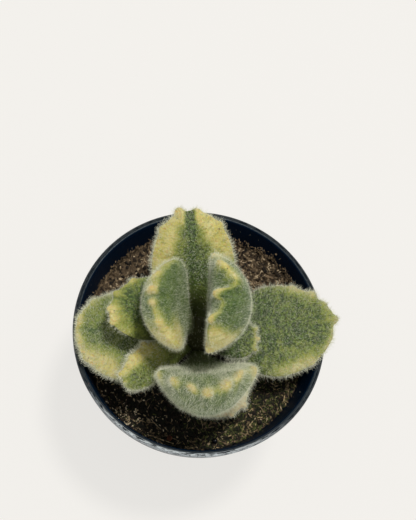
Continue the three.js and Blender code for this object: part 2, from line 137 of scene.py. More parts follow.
# Each leaf has the solid's own values, and the cream patches of its variegation. A patch is
# (face, place, across, length, width, strength): face 1 above, -1 below or 0 both, place from the
# base 0 to the apex 1, across from the left margin 1 over the spine 0 to the right margin -1.
# Its knobs value says how cream the teeth are, ivory how white the cream is, coarse how dark the
# pits of the green are painted, as shade between the hairs, and bare how far up from its foot it is
# olive, darkened into painted shade near the stem, and nearly hairless. What a leaf leaves out is as
# usual.
USUAL_LEAF = dict(
    roll=0, sweep=0, curls=(), ivory=0.0, coarse=1.0, bare=0.3, hairs=(5.4, 1.2, 0.024),
)
LEAVES = {
    "leaf_left_low": dict(
        height=46, azimuth=176.2, pitch=(7.8, 16.7), length=24.9, half_width=9.8, widest=0.56,
        blunt=1.95, rise=0.4, roll=4, upper=(1.2, 1.8), under=(1.3, 2.3),
        teeth=((1, 0.8, 0.3), (-1, 0.9, 0.2), (-1, 0.756, 0.3)), knobs=0.7,
        ivory=0.15, hairs=(7.4, 1.15, 0.028), bare=0.35, coarse=0.5,
        cream=((0, 0.68, 0.88, 0.15, 0.28, 1.0), (0, 0.9, 1.0, 0.12, 0.1, 0.5),
               (0, 0.85, -1.0, 0.15, 0.06, 0.3), (0, 0.75, -0.2, 0.4, 1.0, 0.25),
               (0, 0.95, 1.0, 0.06, 0.2, 0.5), (0, 0.95, -1.0, 0.06, 0.2, 0.5)),
    ),
    "leaf_right_low": dict(
        height=46.3, azimuth=7, pitch=(8.7, 12.5), length=28.5, half_width=10.1, widest=0.55,
        blunt=1.96, rise=0.4, upper=(1.2, 1.5), under=(1.3, 2.1),
        teeth=((1, 0.99, 1.0), (1, 0.94, 0.4), (1, 0.885, 0.45), (1, 0.79, 0.6), (1, 0.66, 0.3),
               (-1, 0.9, 0.15), (-1, 0.7, 0.2)),
        knobs=0.3, ivory=0.5,
        cream=((0, 0.9, -1.0, 0.08, 0.08, 0.4), (0, 0.6, -0.95, 0.18, 0.22, 0.45),
               (0, 0.72, 1.0, 0.14, 0.14, 0.45), (0, 0.45, -0.6, 0.25, 0.5, 0.1),
               (0, 0.7, 0.0, 0.5, 2.0, 0.08)),
    ),
    "leaf_back": dict(
        height=45.4, azimuth=95.3, pitch=(48.1, 28.7), length=29, half_width=8.8, widest=0.57,
        blunt=2.1, rise=1.1, roll=-1, upper=(1.2, 1.5), under=(1.6, 2.6),
        teeth=((1, 0.936, 0.9), (-1, 0.961, 0.4), (1, 0.794, 0.4), (-1, 0.796, 0.4)),
        knobs=0.5, bare=0.5,
        cream=((0, 0.72, 0.98, 0.2, 0.52, 1.25), (0, 0.93, 0.95, 0.05, 0.25, 0.6),
               (0, 0.78, -0.95, 0.2, 0.5, 1.2), (0, 0.94, -0.85, 0.05, 0.25, 0.6),
               (0, 1.0, 0.0, 0.05, 3.0, -1.0)),
    ),
    "leaf_front_low": dict(
        height=42.2, azimuth=-66.5, pitch=(25, 15), length=17.0, half_width=6.4, widest=0.6,
        blunt=2.1, rise=0.2, upper=(1.1, 1.3), under=(1.2, 1.8),
        teeth=((0, 1, 0.4), (1, 0.85, 0.6)), knobs=0.6, ivory=0.8,
        cream=((0, 0.85, 0.9, 0.25, 0.5, 1.2), (0, 0.95, -0.8, 0.15, 0.5, 0.9)),
    ),
    "leaf_front": dict(
        height=47.1, azimuth=-87.2, pitch=(22, 94.3), length=25.7, half_width=9.4, widest=0.65,
        blunt=2.3, rise=3.7, upper=(1.2, 3.9), under=(1.4, 4.7),
        teeth=((-1, 0.63, 0.6), (-1, 0.78, 0.8), (-1, 0.886, 0.6), (-1, 0.97, 0.9),
               (1, 0.915, 1.0), (1, 0.825, 0.7), (1, 0.66, 0.7)),
        curls=((-1, 0.96, -1.3, 0.12), (1, 0.8, 1.4, 0.13)),
        # Its olive foot is painted shade, for the dark hollow behind its upper edge.
        knobs=1.2, ivory=0.2, hairs=(9.0, 1.15, 0.0145), bare=0.42, coarse=0.1,
        cream=((1, 0.85, 1.0, 0.16, 0.14, 0.5), (-1, 0.9, 1.0, 0.12, 0.1, 0.25),
               (0, 0.62, 1.0, 0.06, 0.1, 0.6)),
    ),
    "leaf_left_back": dict(
        height=51.4, azimuth=153.5, pitch=(26.5, 28.7), length=19.2, half_width=6.8, widest=0.62,
        blunt=2.3, rise=1.5, roll=-3, sweep=3.0, upper=(1.0, 1.4), under=(1.0, 2.1),
        teeth=((1, 0.9, 0.4), (1, 0.77, 0.4), (-1, 0.956, 0.5), (-1, 0.793, 0.4)), knobs=0.7,
        # Its olive foot reaches far up as painted shade, where the leaf above shades it.
        hairs=(2.8, 1.0, 0.018), bare=0.6, coarse=0.8,
        cream=((0, 0.84, 0.95, 0.14, 0.4, 0.6), (0, 0.6, 0.9, 0.12, 0.5, 0.25),
               (0, 0.85, -1.0, 0.1, 0.12, 0.3)),
    ),
    "leaf_left_front": dict(
        height=48.6, azimuth=205.4, pitch=(27, 14), length=18.3, half_width=4.0, widest=0.6,
        blunt=2.3, rise=0.75, roll=-12, sweep=2.4, upper=(1.0, 1.7), under=(1.0, 2.1),
        teeth=((-1, 0.922, 0.6), (-1, 0.75, 0.3), (-1, 0.57, 0.6)), knobs=0.8,
        bare=0.42,
        cream=((0, 0.72, -0.9, 0.2, 0.5, 1.4), (0, 0.5, -0.3, 0.08, 0.8, 0.3),
               (0, 0.7, 0.3, 0.4, 0.8, 0.25), (0, 1.0, 0.9, 0.05, 0.3, 0.5),
               # The last patch is painted light: a pale spot at the foot where light shines through
               # the leaf.
               (0, 0.35, -0.3, 0.14, 1.0, 0.3)),
    ),
    "leaf_right_mid": dict(
        height=49.5, azimuth=-3, pitch=(7, 23.5), length=11.2, half_width=4.1, widest=0.6,
        blunt=2.4, rise=0.9, roll=8, upper=(1.0, 1.4), under=(1.0, 1.7),
        teeth=((0, 1, 0.6), (1, 0.86, 0.6), (-1, 0.84, 0.4)), knobs=0.45, ivory=0.3,
        cream=((0, 0.95, 0.95, 0.12, 0.12, 0.45), (0, 0.95, -0.95, 0.12, 0.12, 0.45)),
    ),
    "leaf_left_upright": dict(
        height=54.7, azimuth=166.6, pitch=(48.4, 69.3), length=18.3, half_width=9.3, widest=0.68,
        blunt=2.1, rise=3.2, roll=11, upper=(1.2, 3.1), under=(1.4, 4.0),
        teeth=((1, 0.94, 0.6), (1, 0.79, 0.4), (-1, 0.965, 1.0), (-1, 0.83, 0.4)), knobs=0.8,
        hairs=(6.4, 0.9, 0.013), coarse=0.1,
        cream=((1, 0.58, 0.85, 0.16, 0.5, 1.1), (1, 0.8, 1.0, 0.12, 0.14, 0.5),
               (1, 0.75, -1.0, 0.16, 0.1, 0.4), (-1, 0.62, 1.0, 0.16, 0.6, 1.0),
               (-1, 0.8, -1.0, 0.2, 0.3, 0.6), (1, 0.95, -1.0, 0.06, 0.1, 0.4)),
    ),
    "leaf_right_upright": dict(
        height=54.5, azimuth=11.3, pitch=(75, 103.4), length=26, half_width=9.2, widest=0.7,
        blunt=2.2, rise=2.4, roll=-15.6, sweep=-0.8, upper=(1.2, 2.6), under=(1.5, 5.1),
        teeth=((0, 1, 1.0), (1, 0.81, 0.6), (1, 0.64, 0.3), (-1, 0.865, 1.0), (-1, 0.6, 0.6)),
        curls=((1, 0.92, -2.1, 0.13), (0, 1, 2.1, 0.05), (-1, 0.865, 0.6, 0.04),
               (-1, 0.8, 1.4, 0.16)),
        knobs=0.45, ivory=0.05, hairs=(4.4, 0.9, 0.013), coarse=0.4,
        cream=((1, 0.42, -0.8, 0.3, 0.4, 1.3), (-1, 0.63, -1.0, 0.11, 0.36, 1.3),
               (-1, 0.75, -1.0, 0.07, 0.12, 0.9), (0, 0.88, -1.0, 0.2, 0.012, 0.15),
               (0, 0.88, 1.0, 0.16, 0.012, 0.15), (-1, 0.85, 1.0, 0.09, 0.3, 0.65),
               (1, 0.84, 1.0, 0.08, 0.1, 0.3),
               (0, 0.67, 1.0, 0.05, 0.1, 0.7), (-1, 0.87, -0.65, 0.1, 0.3, -0.3)),
    ),
}

# ---- Camera, light and floor ----

PICTURE_WIDTH = 416
PICTURE_HEIGHT = 520
RIM_CENTRE_PIXEL = (200.5, 328.5)
CAMERA_DISTANCE = 200.0
CAMERA_ELEVATION = 73.12
CAMERA_AZIMUTH = -20.84
SENSOR_HEIGHT = 36.0
FOCAL_LENGTH = 63.63

LAMP_DISTANCE = 700.0
LAMP_AZIMUTH = 135.0
LAMP_ELEVATION = 79.0
LAMP_SIZE = 100.0
LAMP_ENERGY = 3.1
LAMP_COLOUR = (1.0, 0.965, 0.9)
SKY_COLOUR = (1.0, 0.985, 0.95, 1.0)
SKY_STRENGTH = 0.4
STAGE_HALF_SIDE = 2500.0
STAGE_DROP = 0.05


def direction(azimuth, elevation):
    """Unit vector: azimuth 0 points along -Y and 90 along +X, elevation upwards."""
    a, e = np.radians([azimuth, elevation])
    return np.array([np.sin(a) * np.cos(e), -np.cos(a) * np.cos(e), np.sin(e)])


def unit(vectors):
    """Vectors along the last axis, made one long."""
    return vectors / np.maximum(np.linalg.norm(vectors, axis=-1, keepdims=True), 1e-12)


def place_turned(thing, position, right, back):
    """Puts a camera or a lamp at a point in millimetres, looking against its back direction."""
    matrix = np.eye(4)
    matrix[:3, :3] = np.stack([right, np.cross(back, right), back], axis=-1)
    matrix[:3, 3] = np.asarray(position) * MM
    thing.matrix_world = Matrix(matrix)
    bpy.context.collection.objects.link(thing)


def make_camera():
    """The rim's centre lands on its pixel, and X runs level in the picture."""
    data = bpy.data.cameras.new("camera")
    data.sensor_fit = "VERTICAL"
    data.sensor_height = SENSOR_HEIGHT
    data.sensor_width = SENSOR_HEIGHT
    data.lens = FOCAL_LENGTH
    data.clip_start = 0.01
    away = direction(CAMERA_AZIMUTH, CAMERA_ELEVATION)
    pixels_per_mm = FOCAL_LENGTH / SENSOR_HEIGHT * PICTURE_HEIGHT / CAMERA_DISTANCE
    level = unit(np.array([1.0, 0.0, 0.0]) - away * away[0])
    steep = np.cross(away, level)
    rim_centre = POT_HEIGHT * UP
    shift_right = (PICTURE_WIDTH / 2 - RIM_CENTRE_PIXEL[0]) / pixels_per_mm
    shift_up = (RIM_CENTRE_PIXEL[1] - PICTURE_HEIGHT / 2) / pixels_per_mm
    aim = rim_centre + level * shift_right + steep * shift_up
    eye = rim_centre + CAMERA_DISTANCE * away
    back = unit(eye - aim)
    camera = bpy.data.objects.new("camera", data)
    place_turned(camera, eye, unit(level - back * (level @ back)), back)
    bpy.context.scene.camera = camera


def make_light():
    """A high lamp from behind on the right, and a pale surround."""
    data = bpy.data.lights.new("lamp", "AREA")
    data.shape = "DISK"
    data.size = LAMP_SIZE * MM
    data.energy = LAMP_ENERGY
    data.color = LAMP_COLOUR
    back = direction(LAMP_AZIMUTH, LAMP_ELEVATION)
    lamp = bpy.data.objects.new("lamp", data)
    place_turned(lamp, POT_HEIGHT * UP + LAMP_DISTANCE * back, unit(np.cross(UP, back)), back)

    world = bpy.data.worlds.new("studio")
    world.use_nodes = True
    sky = world.node_tree.nodes["Background"]
    sky.inputs["Color"].default_value = SKY_COLOUR
    sky.inputs["Strength"].default_value = SKY_STRENGTH
    bpy.context.scene.world = world
    bpy.context.scene.view_settings.view_transform = "Standard"


def make_floor():
    """A pale plate just under the pot's foot, evened out by a glow of its own."""
    material, _, _ = new_material(
        "floor", Base_Color=colour(114, 113, 112), Roughness=0.9, Specular_IOR_Level=0.1,
        Emission_Color=colour(246, 244, 240), Emission_Strength=0.8,
    )
    square = STAGE_HALF_SIDE * np.array([[-1, -1, 0], [1, -1, 0], [1, 1, 0], [-1, 1, 0]])
    corners = square - STAGE_DROP * UP
    floor = new_piece("floor", corners, [np.array([[0, 1, 2, 3]])], material)


# ---- Meshes ----


def new_piece(name, points, faces, material, smooth=True):
    """A mesh object from an array of points in millimetres and arrays of faces of equal size."""
    corners = np.concatenate([group.ravel() for group in faces]).astype(np.int32)
    sizes = np.concatenate([np.full(group[..., 0].size, group.shape[-1]) for group in faces])
    starts = np.concatenate([[0], np.cumsum(sizes)[:-1]]).astype(np.int32)
    mesh = bpy.data.meshes.new(name)
    mesh.vertices.add(points[..., 0].size)
    mesh.vertices.foreach_set("co", (points * MM).astype(np.float32).ravel())
    mesh.loops.add(len(corners))
    mesh.loops.foreach_set("vertex_index", corners)
    mesh.polygons.add(len(sizes))
    mesh.polygons.foreach_set("loop_start", starts)
    mesh.polygons.foreach_set("use_smooth", np.full(len(sizes), smooth))
    mesh.update(calc_edges=True)
    mesh.materials.append(material)
    piece = bpy.data.objects.new(name, mesh)
    bpy.context.collection.objects.link(piece)
    return piece


def of_the_plant(piece, node=None):
    """The piece rides with the pot, and stands for its node if one is named: that node is hidden."""
    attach(piece, BODY)
    if node:
        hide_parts(node)


def grid_faces(rows, columns):
    """Quads of a grid whose columns close on themselves: (a, b) on one row, (c, d) on the next."""
    row, column = np.meshgrid(np.arange(rows - 1), np.arange(columns), indexing="ij")
    a = row * columns + column
    b = row * columns + (column + 1) % columns
    return np.stack([a, b, b + columns, a + columns], axis=-1).reshape(-1, 4)


def fan(ring, middle):
    """Triangles from a closed ring of vertex numbers to one in its middle."""
    return np.stack([ring, np.roll(ring, -1), np.full_like(ring, middle)], axis=-1)


def circle(sides):
    """Unit vectors (x, y) once round."""
    angle = 2 * np.pi * np.arange(sides) / sides
    return np.stack([np.cos(angle), np.sin(angle)], axis=-1)


def turned(profile, sides):
    """A profile of (radius, height) points turned once round Z, as a grid of rows and sides."""
    radius, height = np.asarray(profile, float).T
    xy = radius[:, None, None] * circle(sides)
    z = np.broadcast_to(height[:, None, None], xy.shape[:2] + (1,))
    return np.concatenate([xy, z], axis=-1)


def capped(rings, ends):
    """A closed body: rings of points, joined by quads and closed by a fan to a point at each of
    its two ends."""
    rows, sides = rings.shape[:2]
    first = np.arange(sides)[::-1]
    last = (rows - 1) * sides + np.arange(sides)
    faces = [grid_faces(rows, sides), fan(first, rows * sides), fan(last, rows * sides + 1)]
    return np.concatenate([rings.reshape(-1, 3), ends]), faces


def copies(rings, *faces):
    """Many small bodies of one kind: arrays (body, corner, 3) of their points, put together, and
    the faces of one body, each number moved on to the points of every body."""
    points = np.concatenate(rings, axis=1)
    starts = points.shape[1] * np.arange(len(points))[:, None, None]
    return points, [starts + np.array(group) for group in faces]


def lathe(profile, sides):
    """A closed body: a profile that starts and ends on the axis, turned once round Z."""
    ends = np.array([[0, 0, profile[0][1]], [0, 0, profile[-1][1]]])
    return capped(turned(profile[1:-1], sides), ends)


def arc(centre, size, first, last, steps):
    """Points (radius, height) on a circle round a centre, from one angle to another."""
    angle = np.radians(np.linspace(first, last, steps))
    return [(centre[0] + size * np.cos(a), centre[1] + size * np.sin(a)) for a in angle]


def waves(points, length, seed, count=7):
    """Smooth relief between about -1 and 1: plane sine waves of about one length that cross in
    random directions with random phases, added up."""
    rng = np.random.default_rng(seed)
    ways = unit(rng.normal(size=(count, points.shape[-1])))
    numbers = 2 * np.pi / (length * rng.uniform(0.7, 1.4, count))
    phases = rng.uniform(0, 2 * np.pi, count)
    return np.sin(points @ (ways * numbers[:, None]).T + phases).sum(axis=-1) / count**0.5 / 1.4


# ---- Materials ----


class Nodes:
    """Adds shader nodes to one tree. An input is given a value, or the output of another node."""

    def __init__(self, tree):
        self.tree = tree

    def add(self, kind, inputs=None, **settings):
        node = self.tree.nodes.new(kind)
        for name, value in settings.items():
            setattr(node, name, value)
        for name, value in (inputs or {}).items():
            if isinstance(value, bpy.types.NodeSocket):
                self.tree.links.new(value, node.inputs[name])
            else:
                node.inputs[name].default_value = value
        return node

    def feed(self, shader, **outputs):
        """Links outputs to the shader's sockets of those names, _ standing for a space."""
        for name, output in outputs.items():
            self.tree.links.new(output, shader.inputs[name.replace("_", " ")])

    def maths(self, operation, *values):
        return self.add("ShaderNodeMath", dict(enumerate(values)), operation=operation).outputs[0]

    def times(self, first, second):
        return self.maths("MULTIPLY", first, second)

    def scaled(self, value, slope, start):
        """The value times a slope, plus a start."""
        return self.maths("MULTIPLY_ADD", value, slope, start)

    def ramp(self, value, low, high):
        """0 at low, 1 at high and smooth between them."""
        inputs = {"Value": value, "From Min": low, "From Max": high}
        node = self.add("ShaderNodeMapRange", inputs, interpolation_type="SMOOTHSTEP")
        return node.outputs["Result"]

    def mix(self, factor, first, second):
        """Blends two colours, each an output or three numbers as the display shows them."""
        inputs = {0: factor, 6: first, 7: second}
        for place in (6, 7):
            if isinstance(inputs[place], tuple):
                inputs[place] = colour(*inputs[place])
        return self.add("ShaderNodeMix", inputs, data_type="RGBA").outputs[2]

    def around_zero(self, noise, amount):
        """A 0 to 1 noise as one between plus and minus half the amount."""
        return self.times(self.maths("SUBTRACT", noise, 0.5), amount)

    def attribute(self, name):
        return self.add("ShaderNodeAttribute", attribute_name=name).outputs["Fac"]

    def millimetres(self):
        """Object coordinates in millimetres."""
        place = self.add("ShaderNodeTexCoord").outputs["Object"]
        scaled = self.add("ShaderNodeVectorMath", {0: place, 3: 1 / MM}, operation="SCALE")
        return scaled.outputs[0]

    def noise(self, vector, scale, detail=2.0):
        inputs = {"Vector": vector, "Scale": scale, "Detail": detail}
        return self.add("ShaderNodeTexNoise", inputs).outputs[0]


def colour(red, green, blue):
    """A colour given as the display shows it, 0 to 255, as the linear one that shaders use."""
    shown = np.array([red, green, blue]) / 255
    linear = np.where(shown <= 0.04045, shown / 12.92, ((shown + 0.055) / 1.055) ** 2.4)
    return (*linear, 1.0)


def new_material(name, **constants):
    """A material with a Principled shader whose named sockets have constant values."""
    material = bpy.data.materials.new(name)
    material.use_nodes = True
    shader = material.node_tree.nodes["Principled BSDF"]
    for socket, value in constants.items():
        shader.inputs[socket.replace("_", " ")].default_value = value
    return material, Nodes(material.node_tree), shader


def grain_group():
    """Fine relief and mottling: noise at one scale as a 0 to 1 value, and the normal that a bump
    of that noise gives."""
    group = bpy.data.node_groups.new("grain", "ShaderNodeTree")
    sockets = (
        ("INPUT", "Vector", "Vector"), ("INPUT", "Scale", "Float"), ("INPUT", "Depth", "Float"),
        ("OUTPUT", "Value", "Float"), ("OUTPUT", "Normal", "Vector"),
    )
    for way, name, kind in sockets:
        group.interface.new_socket(name, in_out=way, socket_type="NodeSocket" + kind)
    nodes = Nodes(group)
    given = nodes.add("NodeGroupInput").outputs
    value = nodes.noise(given["Vector"], given["Scale"], 4.0)
    depth = nodes.times(given["Depth"], MM)
    bump = nodes.add("ShaderNodeBump", {"Height": value, "Distance": depth})
    nodes.add("NodeGroupOutput", {"Value": value, "Normal": bump.outputs[0]})
    return group


GRAIN = grain_group()


def grain(nodes, vector, scale, depth):
    """The grain group in a material: (value, normal). Scale is per millimetre."""
    inputs = {"Vector": vector, "Scale": scale, "Depth": depth}
    group = nodes.add("ShaderNodeGroup", inputs, node_tree=GRAIN)
    return group.outputs["Value"], group.outputs["Normal"]


DEEP_GREEN = (68, 95, 36)
FRESH_GREEN = (94, 118, 54)
VEIN_GREEN = (110, 130, 64)
PIT_SHADE_GREEN = (44, 64, 18)
SHADED_BASE_OLIVE = (60, 72, 0)
YELLOW_GREEN = (142, 152, 66)
YELLOW = (206, 196, 108)
CREAM = (220, 212, 148)
IVORY = (214, 206, 178)
STREAK_YELLOW = (176, 172, 88)
RUST = (200, 152, 84)
SPECK_BROWN = (104, 78, 34)
TOOTH_BLUSH = (196, 142, 84)


def leaf_material():
    """Green flesh with veins running to the margin, and cream patches that fade into it through
    pale green, with small brown spots. The teeth blush a little. The base is olive and darkened as
    painted shade near the stem, and the pits between the hairs are painted darker as shade."""
    material, nodes, shader = new_material(
        "leaf", Roughness=0.55, Subsurface_Weight=0.12, Subsurface_Scale=0.0012,
        Sheen_Weight=0.06, Sheen_Roughness=0.5,
    )
    here = nodes.millimetres()
    veins = nodes.add("ShaderNodeUVMap", uv_map="veins").outputs[0]
    streaks = nodes.noise(veins, 1.3, 3.0)
    blotches = nodes.noise(here, 0.5, 3.0)
    stipple, normal = grain(nodes, here, 2.0, 0.35)
    cream = nodes.attribute("cream")
    for noise, amount in ((streaks, 0.5), (blotches, 0.45), (stipple, 0.3)):
        cream = nodes.maths("ADD", cream, nodes.around_zero(noise, amount))
    green = nodes.mix(nodes.ramp(blotches, 0.35, 0.65), DEEP_GREEN, FRESH_GREEN)
    green = nodes.mix(nodes.ramp(streaks, 0.45, 0.75), green, VEIN_GREEN)
    # Painted shade: the pits of the stipple are darkened as the shade between the hairs, the more so
    # the coarser the leaf.
    pit_shade = nodes.times(nodes.ramp(stipple, 0.58, 0.44), nodes.attribute("coarse"))
    green = nodes.mix(pit_shade, green, PIT_SHADE_GREEN)
    # Painted shade: the olive foot of each leaf, partly its own colour, partly deep shade where the
    # leaves crowd round the stem.
    green = nodes.mix(nodes.attribute("base"), green, SHADED_BASE_OLIVE)
    skin = nodes.mix(nodes.ramp(cream, 0.05, 0.55), green, YELLOW_GREEN)
    pale = nodes.mix(nodes.ramp(blotches, 0.35, 0.7), YELLOW, CREAM)
    pale = nodes.mix(nodes.attribute("ivory"), pale, IVORY)
    pale = nodes.mix(nodes.ramp(streaks, 0.5, 0.7), pale, STREAK_YELLOW)
    rust = nodes.times(nodes.ramp(nodes.noise(here, 1.4), 0.52, 0.68), 0.4)
    pale = nodes.mix(rust, pale, RUST)
    speck = nodes.add("ShaderNodeTexVoronoi", {"Vector": here, "Scale": 0.55}).outputs["Distance"]
    pale = nodes.mix(nodes.ramp(speck, 0.11, 0.06), pale, SPECK_BROWN)
    skin = nodes.mix(nodes.ramp(cream, 0.35, 0.95), skin, pale)
    blush = nodes.times(nodes.attribute("blush"), nodes.ramp(blotches, 0.3, 0.7))
    skin = nodes.mix(nodes.times(blush, 0.45), skin, TOOTH_BLUSH)
    nodes.feed(shader, Base_Color=skin, Normal=normal)
    return material


def stem_material():
    """Olive green, darkened as painted shade deep among the leaf bases, finely grained."""
    material, nodes, shader = new_material("stem", Roughness=0.7)
    here = nodes.millimetres()
    value, normal = grain(nodes, here, 0.9, 0.3)
    # Painted shade: both greens are dark, as the stem stands in the shade among the leaf bases.
    skin = nodes.mix(value, (22, 26, 2), (64, 66, 14))
    nodes.feed(shader, Base_Color=skin, Normal=normal)
    return material


def pot_material():
    """Satin blue-black plastic, duller inside, where a bluer copy of its colour is painted as the
    blue shade in the pot. The rim's outer edge is scuffed pale, with dark nicks left between the
    scuffs, and the pale is painted far stronger in front as a highlight on the band."""
    material, nodes, shader = new_material(
        "pot", Specular_Tint=(0.72, 0.88, 1.0, 1.0), Specular_IOR_Level=0.15
    )
    here = nodes.millimetres()
    value, normal = grain(nodes, here, 1.3, 0.05)
    x, y, z = nodes.add("ShaderNodeSeparateXYZ", {0: here}).outputs
    around = nodes.maths("ARCTAN2", y, x)
    radius = nodes.maths("SQRT", nodes.scaled(x, x, nodes.times(y, y)))
    across = nodes.times(nodes.maths("SUBTRACT", radius, z), 9.0)
    ways = nodes.add("ShaderNodeCombineXYZ", {0: nodes.times(around, 16.0), 1: across})
    rubbed = nodes.noise(ways.outputs[0], 1.0, 4.0)
    nicks = nodes.noise(here, 1.9, 2.0)
    outer = nodes.ramp(radius, RIM_RADIUS - 0.85, RIM_RADIUS - 0.5)
    edge = nodes.times(outer, nodes.ramp(z, POT_HEIGHT - 4.5, POT_HEIGHT - 1.0))
    # Painted highlight: the scuffs are made pale mostly in front, where the band shows bright;
    # behind they stay faint wear.
    front = nodes.ramp(nodes.scaled(x, 0.2, y), -15.0, -26.5)
    scuff_and_highlight = nodes.times(nodes.ramp(rubbed, 0.43, 0.53), edge)
    scuff_and_highlight = nodes.times(scuff_and_highlight, nodes.scaled(front, 0.9, 0.06))
    scuff_and_highlight = nodes.times(scuff_and_highlight, nodes.ramp(nicks, 0.3, 0.36))
    taper = (inner_wall(POT_HEIGHT) - inner_wall(0)) / POT_HEIGHT
    from_wall = nodes.scaled(z, -taper, radius)
    outside = nodes.ramp(from_wall, inner_wall(0) + 0.05, inner_wall(0) + 0.3)
    outside = nodes.maths("MAXIMUM", outside, nodes.ramp(z, 0.8 * FLOOR, 0.2 * FLOOR))
    # Painted shade: inside, a bluer copy of the plastic's colour stands for the blue shade in the
    # pot.
    inner_shade_skin = nodes.mix(value, (3, 24, 48), (8, 31, 56))
    skin = nodes.mix(value, (10, 16, 23), (17, 26, 35))
    skin = nodes.mix(outside, inner_shade_skin, skin)
    skin = nodes.mix(scuff_and_highlight, skin, (206, 214, 220))
    rough = nodes.scaled(value, 0.2, nodes.scaled(scuff_and_highlight, 0.3, 0.28))
    shine = nodes.scaled(outside, 0.25, 0.03)
    nodes.feed(shader, Base_Color=skin, Roughness=rough, Specular_IOR_Level=shine, Normal=normal)
    return material


def soil_material():
    """Peat, brown behind and darker, nearly black, in front."""
    material, nodes, shader = new_material("soil", Roughness=0.95)
    here = nodes.millimetres()
    value, normal = grain(nodes, here, 1.1, 0.6)
    axes = nodes.add("ShaderNodeSeparateXYZ", {0: here})
    # The soil is darker towards the front, nearly black.
    back_share = nodes.ramp(axes.outputs["Y"], -6.0, 6.0)
    front_brown = nodes.mix(value, (8, 10, 7), (32, 33, 22))
    back_brown = nodes.mix(value, (38, 31, 23), (120, 101, 78))
    ground = nodes.mix(back_share, front_brown, back_brown)
    nodes.feed(shader, Base_Color=ground, Normal=normal)
    return material


def mottled_material(name, dark, light, roughness=0.9, scale=0.9):
    """Two colours mixed by fine noise, for hairs and for peat in pieces."""
    material, nodes, shader = new_material(name, Roughness=roughness)
    value = nodes.noise(nodes.millimetres(), scale)
    nodes.feed(shader, Base_Color=nodes.mix(nodes.ramp(value, 0.35, 0.65), dark, light))
    return material


# ---- Leaves ----


def stem_axis(z):
    """The stem's axis at a height: a shallow parabola, foremost at STEM_BOW_HEIGHT."""
    back = STEM_BOW * ((z - STEM_BOW_HEIGHT) / 10) ** 2
    return np.stack([np.full_like(back, STEM_X), STEM_Y + back, z], axis=-1)


def outline_at(leaf, place):
    """(x along, y across) at a share of the half outline's length. The flank swells from the
    petiole to the widest place by a quarter sine, and a superellipse cap closes the apex."""
    share = np.linspace(0, 1, OUTLINE_STEPS)
    flank = leaf["widest"] * leaf["length"]
    swell = np.sin(np.pi / 2 * share**1.25)
    angle, power = np.pi / 2 * share[1:], 2 / leaf["blunt"]
    cap = leaf["length"] - flank
    x = np.append(flank * share, flank + cap * np.sin(angle) ** power)
    flare = PETIOLE_HALF_WIDTH + (leaf["half_width"] - PETIOLE_HALF_WIDTH) * swell
    y = np.append(flare, leaf["half_width"] * np.clip(np.cos(angle), 0, 1) ** power)
    y[-1] = 0
    gone = np.append(0, np.cumsum(np.hypot(np.diff(x), np.diff(y))))
    place = np.clip(place, 0, 1) * gone[-1]
    return np.interp(place, gone, x), np.interp(place, gone, y)


def place_distance(place, side, other_side, other_place):
    """How far another place of the margin is along it, past the apex where it is on the other
    side. A place whose side is 0 is the apex."""
    own = (other_side == 0) | (side == other_side)
    return np.where(own, abs(place - other_place), abs(2 - place - other_place))


def tooth_height(leaf, place, side, sharpness=2.6):
    """How far the margin stands out: each tooth is a power of a cosine round its place."""
    height = 0.0
    for tooth_side, tooth_place, size in leaf["teeth"]:
        distance = place_distance(place, side, tooth_side, tooth_place)
        share = np.clip(distance / TOOTH_HALF_SPAN, 0, 1)
        height = height + size * np.cos(np.pi / 2 * share) ** sharpness
    return height


def margin_curl(leaf, place, side):
    """How far the margin lifts out of the leaf's plane: each curl is a squared cosine."""
    rise = 0.0
    for curl_side, curl_place, height, half_span in leaf["curls"]:
        share = np.clip(place_distance(place, side, curl_side, curl_place) / half_span, 0, 1)
        rise = rise + height * np.cos(np.pi / 2 * share) ** 2
    return rise


def face_rise(leaf, reach, face):
    """How many millimetres a face stands off the middle plane where the leaf is thickest: the
    margin is round, and the faces flatten towards the spine."""
    middle = np.where(face > 0, leaf["upper"][1], leaf["under"][1])
    return middle * np.clip(1 - reach**2.4, 0, 1) ** 0.55


def near_margin(leaf, reach, face, depth=KNOB_REACH):
    """1 on the margin, fading out where the face stands off the middle plane by the depth."""
    return np.exp(-((face_rise(leaf, reach, face) / depth) ** 2))


def flat_leaf(leaf, place, reach, side, face):
    """(along, across, above) of the flat leaf. A vein runs slantwise from the spine to each place
    of the margin, the teeth grow at its end, and the two faces swell away from a cupped middle
    plane that rises with the square of the distance from the spine."""
    x, y = outline_at(leaf, place)
    length, half_width = leaf["length"], leaf["half_width"]
    slant = min(VEIN_SLANT * min(half_width, 0.45 * length) / length, MOST_SLANT)
    spine = x - slant * length * (x / length) ** 3
    xa, ya = outline_at(leaf, place - 1e-3)
    xb, yb = outline_at(leaf, place + 1e-3)
    ahead = np.clip((place - 0.97) / 0.03, 0, 1)
    size = np.hypot(xb - xa, yb - ya)
    out_x = (ya - yb) / size * (1 - ahead) + ahead
    out_y = (xb - xa) / size * (1 - ahead)
    size = np.hypot(out_x, out_y)
    tooth = tooth_height(leaf, place, side) * reach**5 / size
    along = spine + (x - spine) * reach + tooth * out_x
    across = y * reach + tooth * out_y
    share = np.clip(along / length, 0, 1.1)
    swell = np.sin(np.pi / 2 * np.clip(share / 0.5, 0, 1))
    thinning = 1 - 0.25 * np.clip((share - 0.6) / 0.4, 0, 1) ** 2
    base = np.where(face > 0, leaf["upper"][0], leaf["under"][0])
    middle = np.where(face > 0, leaf["upper"][1], leaf["under"][1])
    half = (base / middle * (1 - swell) + swell) * thinning * face_rise(leaf, reach, face)
    cup = leaf["rise"] * (across / half_width) ** 2 * np.clip(2 * share, 0, 1)
    cup = cup + margin_curl(leaf, place, side) * reach**4
    return along, across * side, cup + face * half


